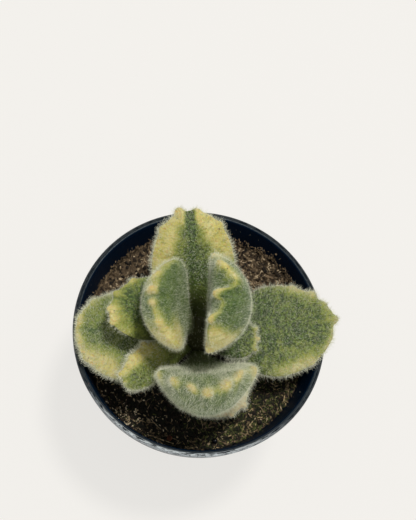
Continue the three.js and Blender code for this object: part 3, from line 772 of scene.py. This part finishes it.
def bent_leaf(leaf, along, across, above):
    """The flat leaf bent along a circular arc from its first pitch to its last, its apex swept
    aside, rolled about its own axis and set on the stem."""
    first, last = np.radians(leaf["pitch"])
    turn = (last - first) / leaf["length"]
    swept = leaf["sweep"] * np.clip(along / leaf["length"], 0, 1) ** 2
    pitch = first + turn * np.maximum(along, 0)
    out = (np.sin(pitch) - np.sin(first)) / turn
    up = (np.cos(first) - np.cos(pitch)) / turn
    azimuth, roll = np.radians([leaf["azimuth"], leaf["roll"]])
    ahead = np.array([np.cos(azimuth), np.sin(azimuth), 0])
    left = np.array([-np.sin(azimuth), np.cos(azimuth), 0])
    over = np.cos(pitch)[..., None] * UP - np.sin(pitch)[..., None] * ahead
    sideways = np.cos(roll) * left + np.sin(roll) * over
    away = np.cos(roll) * over - np.sin(roll) * left
    seat = stem_axis(np.array(float(leaf["height"])))
    middle = seat + (LEAF_SEAT + out)[..., None] * ahead + up[..., None] * UP
    return middle + (across + swept)[..., None] * sideways + above[..., None] * away


def leaf_ring():
    """(reach, side, face) round one ring: over the upper face from the left margin to the right
    one and back below, closer together towards the margins."""
    out = np.sin(np.pi / 2 * np.arange(LEAF_COLUMNS + 1) / LEAF_COLUMNS)
    back = out[::-1]
    reach = np.concatenate([back, out[1:], back[1:], out[1:-1]])
    upper = 2 * LEAF_COLUMNS + 1
    side = np.ones(len(reach))
    side[LEAF_COLUMNS + 1 : 3 * LEAF_COLUMNS + 1] = -1
    face = np.where(np.arange(len(reach)) < upper, 1, -1)
    return reach, side, face


def leaf_grid(leaf):
    """Points and normals of a leaf on its grid of places and ring columns, and its parameters.
    Low waves run over its faces, and each tooth swells into a knob."""
    reach, side, face = leaf_ring()
    place = np.linspace(0, 1, LEAF_ROWS)[:, None]
    shape = (LEAF_ROWS, len(reach))
    place, reach, side, face = (np.broadcast_to(a, shape) for a in (place, reach, side, face))
    points = bent_leaf(leaf, *flat_leaf(leaf, place, reach, side, face))
    along = np.gradient(points, axis=0)
    around = np.roll(points, -1, axis=1) - np.roll(points, 1, axis=1)
    normals = unit(np.cross(around, along))
    relief = sum(height * waves(points, length, seed) for height, length, seed in LEAF_WAVES)
    relief = relief * (1 - reach**4) * np.clip(4 * (1 - place), 0, 1)
    knobs = KNOB_SWELL * tooth_height(leaf, place, side, 1.5) * near_margin(leaf, reach, face)
    points = points + normals * (relief + knobs)[..., None]
    return points, normals, (place, reach, side, face)


def cream_field(leaf, place, reach, side, face):
    """How cream the flesh is, 0 to above 1: the leaf's patches and its teeth as soft bumps."""
    across = reach * side
    at_margin = near_margin(leaf, reach, face)
    field = leaf["knobs"] * tooth_height(leaf, place, side, 1.5) * at_margin
    field = field + MARGIN_CREAM * at_margin * np.clip(4 * place - 1.5, 0, 1)
    for patch_face, at, middle, length, width, strength in leaf["cream"]:
        bump = np.exp(-(((place - at) / length) ** 2) - ((across - middle) / width) ** 2)
        field = field + strength * bump * ((patch_face == 0) | (face == patch_face))
    return field


def paint_leaf(piece, leaf, parameters, used):
    """The leaf's cream, blush and so on as values at its points, 1 deep in the base, and its UV
    map: across and along in units in which the veins' streaks run lengthwise."""
    place, reach, side, face = parameters
    cream = np.append(cream_field(leaf, *parameters), 0.0)
    at_tip = near_margin(leaf, reach, face, 0.5 * KNOB_REACH)
    reddened = min(leaf["knobs"], 1.0) * tooth_height(leaf, place, side) * at_tip
    # The olive foot is partly painted shade; it reaches furthest up where other leaves shade the
    # leaf.
    olive_and_shade = np.clip((leaf["bare"] + OLIVE_EDGE - place) / OLIVE_FADE, 0, 1)
    layers = {
        "cream": cream, "blush": np.append(np.clip(reddened, 0, 1), 0.0),
        "base": np.append(olive_and_shade, 1.0), "ivory": np.full(len(cream), leaf["ivory"]),
        "coarse": np.full(len(cream), leaf["coarse"]),
    }
    for title, values in layers.items():
        layer = piece.data.attributes.new(title, "FLOAT", "POINT")
        layer.data.foreach_set("value", values[used].astype(np.float32))
    across, along = reach * side * leaf["half_width"], place * leaf["length"]
    veins = (np.stack([across, along], axis=-1) * VEIN_MAP).reshape(-1, 2)
    veins = np.append(veins, [[0, 0]], axis=0)[used]
    loops = np.zeros(len(piece.data.loops), np.int32)
    piece.data.loops.foreach_get("vertex_index", loops)
    layer = piece.data.uv_layers.new(name="veins")
    layer.data.foreach_set("uv", veins[loops].astype(np.float32).ravel())


def make_leaf(name, leaf, material):
    """The closed leaf: grid quads, a fan at the petiole, and the two halves of the last ring
    joined along the apex. The points that this leaves over are taken out."""
    points, normals, parameters = leaf_grid(leaf)
    rows, ring = points.shape[:2]
    number = np.arange(rows * ring)
    last = (rows - 1) * ring
    half = np.arange(1, LEAF_COLUMNS + 1)
    number[last + LEAF_COLUMNS + half] = last + LEAF_COLUMNS - half
    below = 2 * LEAF_COLUMNS + half[:-1]
    number[last + 4 * LEAF_COLUMNS - half[:-1]] = last + below
    quads = number[grid_faces(rows, ring)]
    flat = np.concatenate([points.reshape(-1, 3), points[0].mean(axis=0, keepdims=True)])
    start = fan(np.arange(ring)[::-1], rows * ring)
    used = np.unique(np.concatenate([quads.ravel(), start.ravel()]))
    renumber = np.zeros(len(flat), int)
    renumber[used] = np.arange(len(used))
    piece = new_piece(name, flat[used], [renumber[quads], renumber[start]], material)
    of_the_plant(piece, name)
    paint_leaf(piece, leaf, parameters, used)
    return points, normals, parameters


# ---- Hairs ----


def hair_frames(ways):
    """Three corner directions round each hair's way."""
    helper = np.where(abs(ways[:, 2:]) < 0.9, UP, np.array([1.0, 0.0, 0.0]))
    u = unit(np.cross(helper, ways))
    v = np.cross(ways, u)
    cosine, sine = circle(3).T[:, :, None]
    return cosine * u[:, None] + sine * v[:, None]


def hair_mesh(roots, ways, tips, lengths, radius):
    """Curved three-sided spikes. Each has a ring sunk at its root, a smaller ring half way out
    along its first direction, and a point at the tip, turned towards its second direction."""
    corner = hair_frames(ways)
    foot = roots - HAIR_SINK * ways
    elbow = roots + 0.5 * lengths[:, None] * ways
    tip = elbow + 0.5 * lengths[:, None] * tips
    rings = [foot[:, None] + radius * corner, elbow[:, None] + 0.75 * radius * corner, tip[:, None]]
    quads = [[0, 1, 4, 3], [1, 2, 5, 4], [2, 0, 3, 5]]
    return copies(rings, quads, [[3, 4, 6], [4, 5, 6], [5, 3, 6], [0, 2, 1]])


def down_mesh(roots, ways, lengths, radius):
    """Straight three-sided spikes, each with a ring sunk at its root and a point at the tip."""
    foot = (roots - HAIR_SINK * ways)[:, None] + radius * hair_frames(ways)
    tip = roots + lengths[:, None] * ways
    return copies([foot, tip[:, None]], [[0, 1, 3], [1, 2, 3], [2, 0, 3], [0, 2, 1]])


def cell_areas(points):
    """The area of each cell of a grid whose columns close on themselves."""
    right = np.roll(points, -1, axis=1)
    return np.linalg.norm(np.cross(right[:-1] - points[:-1], points[1:] - points[:-1]), axis=-1)


def scatter(rng, chances, count):
    """Random spots on a grid with a chance for each cell: (row, column) as whole numbers and the
    fractions between them."""
    columns = chances.shape[1]
    chances = chances.ravel()
    cell = rng.choice(len(chances), size=count, p=chances / chances.sum())
    row, column = np.divmod(cell, columns)
    return row, column, rng.uniform(size=count), rng.uniform(size=count)


def at_spots(values, spots):
    """A grid's values at the spots, by the mean of the four corners weighted by closeness."""
    row, column, down, over = spots
    following = (column + 1) % values.shape[1]
    a, b = values[row, column], values[row, following]
    c, d = values[row + 1, following], values[row + 1, column]
    down, over = down[:, None], over[:, None]
    return (a * (1 - over) + b * over) * (1 - down) + (d * (1 - over) + c * over) * down


def grow_hairs(name, grid, hairs, seed, material, curved=True, bare=0.3):
    """Short hairs all over a leaf but its base: out along the normal, leaning towards the apex
    and a little at random, denser and longer at the margins and shorter at the apex. Curved ones
    are bent once half way."""
    points, normals, (place, reach, _, face) = grid
    density, length, radius = hairs
    rng = np.random.default_rng(seed)
    weights = np.where(face > 0, 1.0, UNDER_SHARE) * np.clip((place - bare) / HAIR_FADE, 0.05, 1)
    weights = weights * (1 + MARGIN_SHARE * reach**12)
    chances = cell_areas(points) * weights[:-1]
    count = int(density * chances.sum())
    spots = scatter(rng, chances, count)
    roots = at_spots(points, spots)
    out = unit(at_spots(normals, spots))
    along = unit(at_spots(np.gradient(points, axis=0), spots))
    longer = at_spots(0.9 + 0.2 * reach[..., None] ** 6, spots)[:, 0]
    longer = longer - 4 * np.clip(at_spots(place[..., None], spots)[:, 0] - 0.9, 0, 0.1)
    lengths = length * rng.uniform(*HAIR_LENGTHS, count) * longer
    if curved:
        ways = unit(out + HAIR_LEAN * along + 0.25 * rng.normal(size=(count, 3)))
        tips = unit(ways + HAIR_LEAN * along + 0.4 * rng.normal(size=(count, 3)))
        mesh, faces = hair_mesh(roots, ways, tips, lengths, radius)
    else:
        ways = unit(out + HAIR_LEAN * along + 0.4 * rng.normal(size=(count, 3)))
        mesh, faces = down_mesh(roots, ways, lengths, radius)
    piece = new_piece(name, mesh, faces, material, smooth=False)
    of_the_plant(piece)


# ---- Stem ----


def make_stem(material, hair):
    """Rings along the bowed axis, thinner upwards, with a rounded top."""
    z = np.linspace(STEM_FOOT, STEM_TOP, STEM_ROWS)
    along = (z - STEM_FOOT) / (STEM_TOP - STEM_FOOT)
    dome = np.sqrt(np.clip((STEM_TOP - z) / 2 + 0.01, 0, 1))
    radius = (STEM_FOOT_RADIUS + (STEM_TOP_RADIUS - STEM_FOOT_RADIUS) * along) * dome
    ring = np.pad(circle(STEM_SIDES), ((0, 0), (0, 1)))
    points = stem_axis(z)[:, None] + radius[:, None, None] * ring
    knots = 1 + 0.05 * waves(points, 3.0, 11)
    points = stem_axis(z)[:, None] + (points - stem_axis(z)[:, None]) * knots[..., None]
    piece = new_piece("stem", *capped(points, points[[0, -1]].mean(axis=1)), material)
    of_the_plant(piece, "stem")
    normals = np.broadcast_to(ring, points.shape)
    above_soil = np.where(z > SOIL_TOP, 1.0, 0.0)[:, None] * np.ones(STEM_SIDES)
    grid = (points, normals, (above_soil, above_soil, above_soil, above_soil))
    grow_hairs("stem_hairs", grid, STEM_HAIRS, 91, hair)


# ---- Pot ----


def outer_wall(z):
    """The wall's outer radius at a height: a straight taper from the foot to the band."""
    return BASE_RADIUS + (RIM_INNER - BASE_RADIUS) * z / (POT_HEIGHT - RIM_BAND)


def inner_wall(z):
    """The wall's inner radius at a height: a straight taper from the foot to the rim."""
    return BASE_RADIUS - WALL + (RIM_INNER - BASE_RADIUS + WALL) * z / POT_HEIGHT


def pot_profile():
    """(radius, height) from under the floor, up the outer wall and the band with its drawn lines,
    over the rounded rim and down inside to the floor."""
    foot = BASE_RADIUS + 0.12 - BASE_ROUND
    band = POT_HEIGHT - RIM_BAND
    profile = [(DRAIN_RING[1], 0.0), (foot - 0.5, 0.0)]
    profile += arc((foot, BASE_ROUND), BASE_ROUND, -90, 0, 7)
    profile += [(outer_wall(z), z) for z in np.linspace(3, band - 0.9, 12)]
    profile += [(outer_wall(band) + 0.08, band - 0.35), (RIM_RADIUS - RIM_DRAFT - 0.25, band)]
    profile += [(RIM_RADIUS - RIM_DRAFT, band + 0.25)]
    profile += [(RIM_RADIUS - 0.3, POT_HEIGHT - 3), (RIM_RADIUS - 0.1, POT_HEIGHT - 1.4)]
    profile += arc((RIM_RADIUS - RIM_ROUND, POT_HEIGHT - RIM_ROUND), RIM_ROUND, 0, 90, 7)
    profile += [(RIM_RADIUS - 0.62, POT_HEIGHT - 0.16), (RIM_RADIUS - 0.8, POT_HEIGHT - 0.14)]
    profile += arc((RIM_INNER + RIM_ROUND, POT_HEIGHT - RIM_ROUND), RIM_ROUND, 90, 180, 7)
    profile += [(inner_wall(z), z) for z in np.linspace(POT_HEIGHT - 1.5, FLOOR + 2, 14)]
    profile += [(inner_wall(FLOOR + 0.8), FLOOR + 0.8), (inner_wall(FLOOR) - 0.8, FLOOR)]
    return profile + [(DRAIN_RING[1], FLOOR)]


def sector_border(middle):
    """The closed border of one sector of the drain ring, counterclockwise: along its outer arc,
    in along one side, back along its inner arc and out along the other side."""
    steps, side_steps = POT_SIDES // DRAIN_HOLES, 12
    angle = middle + np.pi / DRAIN_HOLES * np.linspace(-1, 1, steps + 1)
    radius = np.linspace(*DRAIN_RING, side_steps + 1)
    radii = np.concatenate([
        np.full(steps, DRAIN_RING[1]), radius[:0:-1], np.full(steps, DRAIN_RING[0]), radius[:-1],
    ])
    angles = np.concatenate([
        angle[:-1], np.full(side_steps, angle[-1]), angle[:0:-1], np.full(side_steps, angle[0]),
    ])
    return radii[:, None] * np.stack([np.cos(angles), np.sin(angles)], axis=-1)


def drained_sector(middle):
    """One sector of the floor with its hole. Columns are places round the border, and rows run
    straight in to the hole's edge above, down its wall, and straight out again below."""
    border = sector_border(middle)
    centre = DRAIN_CIRCLE * np.array([np.cos(middle), np.sin(middle)])
    edge = centre + DRAIN_RADIUS * unit(border - centre)
    share = np.array([0, 0.35, 0.7, 0.94, 1, 1, 0.94, 0.7, 0.35, 0])[:, None, None]
    xy = border + share * (edge - border)
    z = np.where(np.arange(len(share)) < len(share) / 2, FLOOR, 0.0)[:, None, None]
    return np.concatenate([xy, np.broadcast_to(z, xy.shape[:2] + (1,))], axis=-1)


def disc(radius, height, sides):
    """A flat round plate, a ring of points and a fan to its middle."""
    ring = turned([(radius, height)], sides)[0]
    middle = np.array([[0, 0, height]])
    return np.concatenate([ring, middle]), [fan(np.arange(sides), sides)]


def make_pot(material):
    """The turned wall, the drained ring of the floor in sectors and its middle, welded into one
    closed shell whose faces are then turned outwards."""
    wall = turned(pot_profile(), POT_SIDES)
    parts = [(wall.reshape(-1, 3), [grid_faces(*wall.shape[:2])])]
    for hole in range(DRAIN_HOLES):
        sector = drained_sector(2 * np.pi * (hole + 0.5) / DRAIN_HOLES)
        parts.append((sector.reshape(-1, 3), [grid_faces(*sector.shape[:2])]))
    parts += [disc(DRAIN_RING[0], height, POT_SIDES) for height in (0.0, FLOOR)]
    starts = np.cumsum([0] + [len(points) for points, _ in parts])
    faces = [group + start for (_, groups), start in zip(parts, starts) for group in groups]
    piece = new_piece("pot", np.concatenate([points for points, _ in parts]), faces, material)
    shell = bmesh.new()
    shell.from_mesh(piece.data)
    bmesh.ops.remove_doubles(shell, verts=shell.verts, dist=0.002 * MM)
    bmesh.ops.recalc_face_normals(shell, faces=shell.faces)
    sharp = float(np.radians(SHARP_ANGLE))
    for edge in shell.edges:
        edge.smooth = len(edge.link_faces) == 2 and edge.calc_face_angle() < sharp
    shell.to_mesh(piece.data)
    shell.free()
    of_the_plant(piece, "pot")


# ---- Soil ----


def bank(x, y):
    """How far the peat climbs the wall: a little behind, and most on the back right."""
    angle = np.degrees(np.arctan2(y, x))
    right = BANK_RIGHT * np.exp(-(((angle - BANK_AZIMUTH) / BANK_SPREAD) ** 2))
    return (BANK_BEHIND * np.clip(y / 12, 0, 1) + right) * near_wall(x, y, 5) ** 2


def soil_height(x, y):
    """The soil's surface: the solid's own crossing waves, finer crumbs on them, and the bank."""
    coarse = np.sin(0.42 * x + 1.3) * np.cos(0.37 * y - 0.6)
    middle = np.sin(0.9 * x - 1.1 * y) * np.cos(0.8 * y + 0.5 * x + 2)
    fine = np.sin(2.1 * x + 1.7 * y + 0.4) * np.sin(1.9 * y - 1.3 * x)
    plan = np.stack([x, y], axis=-1)
    grit = sum(height * waves(plan, length, seed, 11) for height, length, seed in CRUMB_WAVES)
    relief = SOIL_RELIEF * (0.5 * coarse + 0.3 * middle + 0.35 * fine)
    return SOIL_TOP + relief + 0.8 * grit + bank(x, y)


def make_soil(material):
    """A closed body: a flat bottom, a side along the pot's wall, and the crumbly surface."""
    edge = SOIL_TOP - SOIL_SHOULDER
    side = inner_wall(edge) - SOIL_GAP
    foot = SOIL_BOTTOM + 1
    profile = [(0.0, SOIL_BOTTOM), (inner_wall(SOIL_BOTTOM) - BASE_ROUND - 0.3, SOIL_BOTTOM)]
    profile += [(inner_wall(foot) - SOIL_GAP, foot), (side, edge)]
    profile += [(side * (1 - share), SOIL_TOP) for share in np.linspace(0, 1, SOIL_RINGS + 1)]
    points, faces = lathe(profile, SOIL_SIDES)
    top = points[:, 2] > edge + 0.01
    x, y = points[top, 0], points[top, 1]
    points[top, 2] = soil_height(x, y)
    spread = 1 + (inner_wall(points[top, 2]) - inner_wall(edge)) / side * near_wall(x, y, 2)
    points[top, :2] *= spread[:, None]
    piece = new_piece("soil", points, faces, material)
    of_the_plant(piece, "soil")


ICOSAHEDRON_FACES = [
    [0, 11, 5], [0, 5, 1], [0, 1, 7], [0, 7, 10], [0, 10, 11], [1, 5, 9], [5, 11, 4], [11, 10, 2],
    [10, 7, 6], [7, 1, 8], [3, 9, 4], [3, 4, 2], [3, 2, 6], [3, 6, 8], [3, 8, 9], [4, 9, 5],
    [2, 4, 11], [6, 2, 10], [8, 6, 7], [9, 8, 1],
]


def icosahedron():
    """Twelve corners: the even turns of (-1, golden ratio, 0) and its sign changes."""
    g = (1 + 5**0.5) / 2
    rows = [(-1, g, 0), (1, g, 0), (-1, -g, 0), (1, -g, 0), (0, -1, g), (0, 1, g)]
    rows += [(0, -1, -g), (0, 1, -g), (g, 0, -1), (g, 0, 1), (-g, 0, -1), (-g, 0, 1)]
    return unit(np.array(rows, float))


def random_turns(rng, count):
    """Random rotation matrices from random unit quaternions."""
    w, x, y, z = unit(rng.normal(size=(count, 4))).T
    return np.stack([
        1 - 2 * (y * y + z * z), 2 * (x * y - z * w), 2 * (x * z + y * w),
        2 * (x * y + z * w), 1 - 2 * (x * x + z * z), 2 * (y * z - x * w),
        2 * (x * z - y * w), 2 * (y * z + x * w), 1 - 2 * (x * x + y * y),
    ], axis=-1).reshape(count, 3, 3)


def soil_spots(rng, count, keep, height):
    """Random spots on the soil, thinned by a function of (x, y) that gives the share to keep. With
    a height they are moved straight out to the wall and up it, most of them only a little."""
    reach = inner_wall(SOIL_TOP) - LITTER_GAP
    radius = reach * np.sqrt(rng.uniform(size=SPOT_TRIES * count))
    angle = rng.uniform(0, 2 * np.pi, SPOT_TRIES * count)
    x, y = radius * np.cos(angle), radius * np.sin(angle)
    kept = np.flatnonzero(rng.uniform(size=len(x)) < keep(x, y))[:count]
    x, y = x[kept], y[kept]
    spots = np.stack([x, y, soil_height(x, y)], axis=-1)
    if not height:
        return spots
    outwards = unit(spots[:, :2])
    foot = soil_height(*(inner_wall(SOIL_TOP) * outwards.T))
    z = np.minimum(foot + rng.exponential(height, len(spots)), LITTER_TOP)
    return np.concatenate([(inner_wall(z) - LITTER_GAP)[:, None] * outwards, z[:, None]], axis=-1)


def lumps(name, spots, sizes, lift, rng, material):
    """A jittered icosahedron at each spot, stretched, turned at random and raised by a share of its
    size."""
    count = len(spots)
    size = np.exp(rng.uniform(*np.log(sizes), count))
    corners = icosahedron() * rng.uniform(0.7, 1.15, (count, 12, 1))
    corners = corners * (size[:, None] * rng.uniform(0.45, 1.0, (count, 3)))[:, None]
    corners = np.einsum("nij,nkj->nki", random_turns(rng, count), corners)
    points = corners + (spots + UP * lift * size[:, None])[:, None]
    body = copies([points], ICOSAHEDRON_FACES)
    of_the_plant(new_piece(name, *body, material, smooth=False))


def crumbs(name, count, sizes, keep, seed, material, height=0):
    """Lumps partly sunk in the soil, or with a height stuck to the wall above it."""
    rng = np.random.default_rng(seed)
    lumps(name, soil_spots(rng, count, keep, height), sizes, CRUMB_LIFT, rng, material)


def slivers(name, count, lengths, radius, keep, seed, material, tilt=0.35, height=0):
    """Fibres: spindles pointed at both ends, with two rings between, bent a little and lying on
    the soil at a small tilt, or with a height leaning on the wall above it."""
    rng = np.random.default_rng(seed)
    spots = soil_spots(rng, count, keep, height)
    count = len(spots)
    length = np.exp(rng.uniform(*np.log(lengths), count))[:, None]
    heading = rng.uniform(0, 2 * np.pi, count)
    rise = tilt * rng.normal(size=count)
    way = unit(np.stack([np.cos(heading), np.sin(heading), rise], axis=-1))
    u = unit(np.cross(UP, way))
    v = np.cross(way, u)
    thick = (radius * rng.uniform(0.6, 1.5, count))[:, None]
    bow = length * rng.uniform(-0.18, 0.18, (count, 1)) * u
    middle = spots + UP * (0.35 * thick + 0.3 * abs(way[:, 2:]) * length)
    cosine, sine = circle(3).T[:, :, None]
    corner = (cosine * u[:, None] + 0.7 * sine * v[:, None]) * thick[:, None]
    rings = [
        (middle - 0.5 * length * way)[:, None],
        (middle - 0.2 * length * way + bow)[:, None] + corner,
        (middle + 0.2 * length * way + bow)[:, None] + corner,
        (middle + 0.5 * length * way)[:, None],
    ]
    quads = [[1, 2, 5, 4], [2, 3, 6, 5], [3, 1, 4, 6]]
    triangles = [[0, 2, 1], [0, 3, 2], [0, 1, 3], [4, 5, 7], [5, 6, 7], [6, 4, 7]]
    body = copies(rings, quads, triangles)
    of_the_plant(new_piece(name, *body, material, smooth=False))


def smooth_route(places, steps=8):
    """A Catmull-Rom curve: between two places a cubic whose slope at each of them is half the way
    between its neighbours."""
    first, last = 2 * places[0] - places[1], 2 * places[-1] - places[-2]
    places = np.concatenate([[first], places, [last]])
    t = np.linspace(0, 1, steps, endpoint=False)[:, None]
    a, b, c, d = (places[i : len(places) - 3 + i, None] for i in range(4))
    spans = 2 * b + (c - a) * t + (2 * a - 5 * b + 4 * c - d) * t**2 + (3 * b - a - 3 * c + d) * t**3
    return np.concatenate([0.5 * spans.reshape(-1, places.shape[1]), places[-2:-1]])


def strand(name, places, radius, material):
    """A round thread along a smooth route, thin towards its two ends. Places of (x, y) only lie on
    the soil."""
    route = smooth_route(np.array(places, float))
    if route.shape[1] == 2:
        x, y = route.T
        level = np.linspace(soil_height(x[0], y[0]), soil_height(x[-1], y[-1]), len(x))
        route = np.stack([x, y, level + radius + STRAND_LIFT], axis=-1)
    along = unit(np.gradient(route, axis=0))
    u = unit(np.cross(along, UP))
    v = np.cross(u, along)
    cosine, sine = circle(6).T[:, :, None]
    share = np.linspace(-1, 1, len(route))[:, None, None]
    corner = cosine * u[:, None] - sine * v[:, None]
    rings = route[:, None] + radius * (1 - 0.7 * share**4) * corner
    of_the_plant(new_piece(name, *capped(rings, route[[0, -1]]), material))


def on_inner_wall(angle, z, off=0.0):
    """A point on the inner wall from an angle in degrees and a height."""
    angle, z = np.radians(angle), np.asarray(z, float)
    radius = inner_wall(z) - off
    return np.stack([radius * np.cos(angle), radius * np.sin(angle), z], axis=-1)


def set_down(name, body, x, y, lift, material):
    """A small closed body of points and faces on the soil."""
    points, faces = body
    place = np.array([x, y, soil_height(x, y) + lift])
    of_the_plant(new_piece(name, points + place, faces, material))


def make_litter(tan, brown, moss):
    """What lies about: a few threads and needles, a round bit of bark, a black seed, and specks of
    dust on the wall and the rim."""
    strand("thread", [(-10.2, -13.9), (-11.1, -15.5), (-11.3, -16.4), (-10.5, -17.9),
                      (-9.4, -19.2), (-8.3, -20.3)], 0.07, tan)
    strand("needle", [(-10.3, -21.6), (-8.1, -22.5), (-5.6, -23.4)], 0.11, tan)
    strand("back_thread", [(-12.5, 2.2), (-12.1, 0.8), (-11.4, -0.3)], 0.07, brown)
    strand("curl", [(9.0, -21.0), (9.8, -21.5), (10.6, -21.4)], 0.12, brown)
    strand("grey_sliver", [(2.6, -18.1), (2.9, -18.5), (3.3, -18.8)], 0.13, moss)
    strand("wall_fibre", on_inner_wall([61.0, 59.8, 58.1], [42.4, 41.0, 39.3], 0.15), 0.1, tan)

    bark = mottled_material("bark", (70, 34, 18), (128, 72, 44))
    profile = [(0, -0.2), (0.5, -0.2), (0.62, 0), (0.56, 0.14), (0.42, 0.1), (0.36, 0.02), (0, 0.05)]
    set_down("bark_bit", lathe(profile, 14), -6.5, -22.2, 0.3, bark)

    black = mottled_material("black", (5, 6, 9), (18, 20, 26), roughness=0.2)
    ball = arc((0, 0), 0.62, -90, 90, 9)
    set_down("black_seed", lathe(ball, 16), 3.4, -22.9, 0.45, black)

    rng = np.random.default_rng(61)
    dust = mottled_material("dust", (150, 142, 122), (226, 220, 204))
    flecks = on_inner_wall([61.7, 52.3, 125.2, -31.3], [45.9, 43.2, 42.3, 44.1])
    count = 70
    wall = on_inner_wall(rng.uniform(0, 360, count), rng.uniform(SOIL_TOP, POT_HEIGHT - 0.5, count))
    rim = np.array([[-21.9, -15.9, POT_HEIGHT - 0.15], [-21.3, -15.9, POT_HEIGHT - 0.15]])
    lumps("dust", np.concatenate([flecks, rim]), (0.14, 0.22), 0, rng, dust)
    lumps("wall_dust", wall, (0.05, 0.12), 0, rng, dust)
    chip = np.array([[-23.85, -11.84, POT_HEIGHT - 0.15]])
    lumps("rim_chip", chip, (0.3, 0.34), 0, rng, bark)


def slope(value, start, length, least=0.0):
    """A share that is start where the value is 0, grows by 1 over the length, and stays between
    the least and 1."""
    return np.clip(start + value / length, least, 1)


def near_wall(x, y, depth):
    """1 at the wall, fading out over a depth."""
    return slope(inner_wall(SOIL_TOP) - np.hypot(x, y), 1, -depth)


# Each of these gives the share of the litter that stays at (x, y).


def everywhere(x, y):
    """All of it."""
    return np.ones_like(x)


def behind(x, y):
    """More of it on the back half, most on its right."""
    return slope(y, 0.5, 10, 0.08) * slope(x, 0.8, 30, 0.3)


def in_front(x, y):
    """More of it towards the front."""
    return slope(y, 0.4, -12)


def front_right(x, y):
    """The mossy part."""
    return slope(y, 0, -10) * slope(x, 0.4, 10, 0.05)


def front_left(x, y):
    """Near the wall on the front left."""
    return slope(x, -0.4, -8) * slope(y, -0.6, -8) * near_wall(x, y, 7)


def front_edge(x, y):
    """Near the wall in front."""
    return slope(y, 0, -8) * near_wall(x, y, 4)


def front_chips(x, y):
    """Scattered on the open part of the front and its right."""
    return slope(y, 0, -8) * slope(x, 0.5, 12, 0.1) * near_wall(x, y, 14)


def clusters_behind(x, y):
    """In patches some 7 mm apart on the back half."""
    clusters = slope(waves(np.stack([x, y], axis=-1), 7.0, 24), 0.5, 1) ** 2
    return clusters * slope(y, 0.1, 12)


# ---- The whole scene ----

make_camera()
make_light()
make_floor()
make_pot(pot_material())
make_soil(soil_material())

dark_peat = mottled_material("dark_peat", (16, 13, 10), (48, 38, 28))
brown_peat = mottled_material("brown_peat", (62, 50, 37), (140, 120, 93))
tan_peat = mottled_material("tan_peat", (140, 120, 92), (226, 204, 168))
# Painted light: a paler copy of the tan peat, for the flecks on the front left that stand in the
# light.
sunlit_peat = mottled_material("sunlit_peat", (176, 156, 122), (252, 236, 206))
moss = mottled_material("moss", (38, 46, 20), (100, 106, 56))
crumbs("peat_crumbs_dark", 1500, (0.25, 0.8), everywhere, 31, dark_peat)
crumbs("peat_crumbs_brown", 1100, (0.2, 0.6), behind, 32, brown_peat)
slivers("peat_fibres_brown", 2600, (0.7, 2.2), 0.15, behind, 33, brown_peat)
slivers("peat_fibres_tan", 1500, (0.5, 1.8), 0.1, behind, 34, tan_peat)
slivers("peat_fibres_dark", 1600, (0.8, 3.0), 0.12, everywhere, 35, dark_peat)
slivers("front_fibres", 300, (0.6, 2.6), 0.08, in_front, 36, tan_peat)
slivers("front_flecks", 420, (0.3, 1.1), 0.14, front_left, 38, sunlit_peat)
slivers("front_edge_fibres", 900, (0.3, 1.2), 0.11, front_edge, 39, brown_peat)
slivers("moss_fibres", 2600, (0.4, 1.4), 0.1, front_right, 37, moss)
crumbs("peat_chips", 240, (0.25, 0.7), behind, 40, tan_peat)
chips = mottled_material("chips", (92, 80, 56), (190, 168, 126))
slivers("front_chips", 220, (0.6, 2.2), 0.12, front_chips, 41, chips)
slivers("wall_fibres", 900, (0.5, 1.9), 0.1, clusters_behind, 42, brown_peat, tilt=0.8, height=0.5)
crumbs("wall_crumbs", 500, (0.12, 0.4), clusters_behind, 43, brown_peat, height=0.4)
make_litter(tan_peat, brown_peat, moss)

leaf_skin = leaf_material()
hair = mottled_material("hair", (216, 220, 194), (244, 245, 228), roughness=0.5, scale=1.5)
make_stem(stem_material(), hair)
for seed, (name, shape) in enumerate(LEAVES.items(), start=51):
    leaf = USUAL_LEAF | shape
    grid = make_leaf(name, leaf, leaf_skin)
    density, length, radius = leaf["hairs"]
    down = (DOWN_SHARE * density, DOWN_LENGTH * length, radius)
    bare = leaf["bare"] - HAIR_EDGE
    grow_hairs(name + "_hairs", grid, leaf["hairs"], seed, hair, True, bare)
    grow_hairs(name + "_down", grid, down, seed + 20, hair, False, bare)
